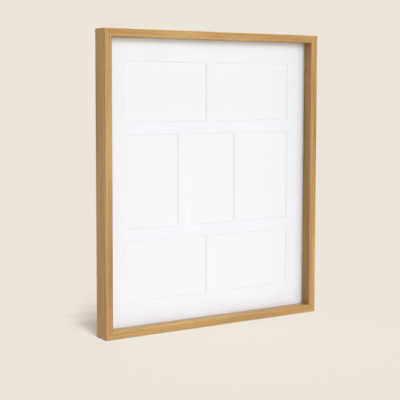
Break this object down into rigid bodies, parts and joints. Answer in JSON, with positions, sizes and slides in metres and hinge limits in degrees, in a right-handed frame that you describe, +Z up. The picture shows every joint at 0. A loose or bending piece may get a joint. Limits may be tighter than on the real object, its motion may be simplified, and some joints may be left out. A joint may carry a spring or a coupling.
{
  "type": "collage photo frame",
  "caption": "Deep mitred wooden box frame with a white bevel-cut mat of landscape and portrait windows over blank prints, held by turn buttons, with D-ring hangers behind.",
  "frame": {"origin": "middle of the flat bottom face, halfway between the front and the back of the moulding", "axes": "+Z up, -Y out of the front of the frame, +X to the right as seen from the front"},
  "size_m": [0.388, 0.0336, 0.455],
  "materials": {
    "oak": "clear satin lacquer",
    "clear_glass": "polished",
    "mat_board": "smooth matt",
    "blank_paper": "matt",
    "corrugated_card": "raw kraft",
    "fibreboard": "raw",
    "zinc_steel": "zinc plated",
    "nickel_steel": "nickel plated",
    "grey_rubber": "matt"
  },
  "bodies": {
    "frame": {"left_stile": "oak", "right_stile": "oak", "top_rail": "oak", "bottom_rail": "oak", "glazing": "clear_glass", "window_mat": "mat_board", "print_top_left": "blank_paper", "print_top_right": "blank_paper", "print_middle_left": "blank_paper", "print_middle_centre": "blank_paper", "print_middle_right": "blank_paper", "print_bottom_left": "blank_paper", "print_bottom_right": "blank_paper", "filler_card": "corrugated_card", "backing_board": "fibreboard", "corner_v_nails": "zinc_steel", "button_screws": "nickel_steel", "hanger_plate_left": "zinc_steel", "hanger_plate_right": "zinc_steel", "hanger_rivets": "nickel_steel", "wall_bumper_left": "grey_rubber", "wall_bumper_right": "grey_rubber"},
    "button_bottom_left": {"turn_button_bottom_left": "zinc_steel"},
    "button_bottom_right": {"turn_button_bottom_right": "zinc_steel"},
    "button_left_lower": {"turn_button_left_lower": "zinc_steel"},
    "button_left_upper": {"turn_button_left_upper": "zinc_steel"},
    "button_top_left": {"turn_button_top_left": "zinc_steel"},
    "button_top_right": {"turn_button_top_right": "zinc_steel"},
    "button_right_lower": {"turn_button_right_lower": "zinc_steel"},
    "button_right_upper": {"turn_button_right_upper": "zinc_steel"},
    "ring_left": {"hanger_ring_left": "nickel_steel"},
    "ring_right": {"hanger_ring_right": "nickel_steel"}
  },
  "joints": [
    {"name": "bottom_left_button_turn", "type": "hinge", "parent": "frame", "child": "button_bottom_left", "pos_m": [-0.099, 0.0155, 0.004], "axis": [0, 1, 0], "range_deg": [-90, 90]},
    {"name": "bottom_right_button_turn", "type": "hinge", "parent": "frame", "child": "button_bottom_right", "pos_m": [0.099, 0.0155, 0.004], "axis": [0, 1, 0], "range_deg": [-90, 90]},
    {"name": "left_lower_button_turn", "type": "hinge", "parent": "frame", "child": "button_left_lower", "pos_m": [-0.19, 0.0155, 0.095], "axis": [0, 1, 0], "range_deg": [-90, 90]},
    {"name": "left_upper_button_turn", "type": "hinge", "parent": "frame", "child": "button_left_upper", "pos_m": [-0.19, 0.0155, 0.36], "axis": [0, 1, 0], "range_deg": [-90, 90]},
    {"name": "top_left_button_turn", "type": "hinge", "parent": "frame", "child": "button_top_left", "pos_m": [-0.099, 0.0155, 0.451], "axis": [0, 1, 0], "range_deg": [-90, 90]},
    {"name": "top_right_button_turn", "type": "hinge", "parent": "frame", "child": "button_top_right", "pos_m": [0.099, 0.0155, 0.451], "axis": [0, 1, 0], "range_deg": [-90, 90]},
    {"name": "right_lower_button_turn", "type": "hinge", "parent": "frame", "child": "button_right_lower", "pos_m": [0.19, 0.0155, 0.095], "axis": [0, 1, 0], "range_deg": [-90, 90]},
    {"name": "right_upper_button_turn", "type": "hinge", "parent": "frame", "child": "button_right_upper", "pos_m": [0.19, 0.0155, 0.36], "axis": [0, 1, 0], "range_deg": [-90, 90]},
    {"name": "left_ring_swing", "type": "hinge", "parent": "frame", "child": "ring_left", "pos_m": [-0.12, 0.0168, 0.345], "axis": [1, 0, 0], "range_deg": [0, 180]},
    {"name": "right_ring_swing", "type": "hinge", "parent": "frame", "child": "ring_right", "pos_m": [0.12, 0.0168, 0.345], "axis": [1, 0, 0], "range_deg": [0, 180]}
  ]
}
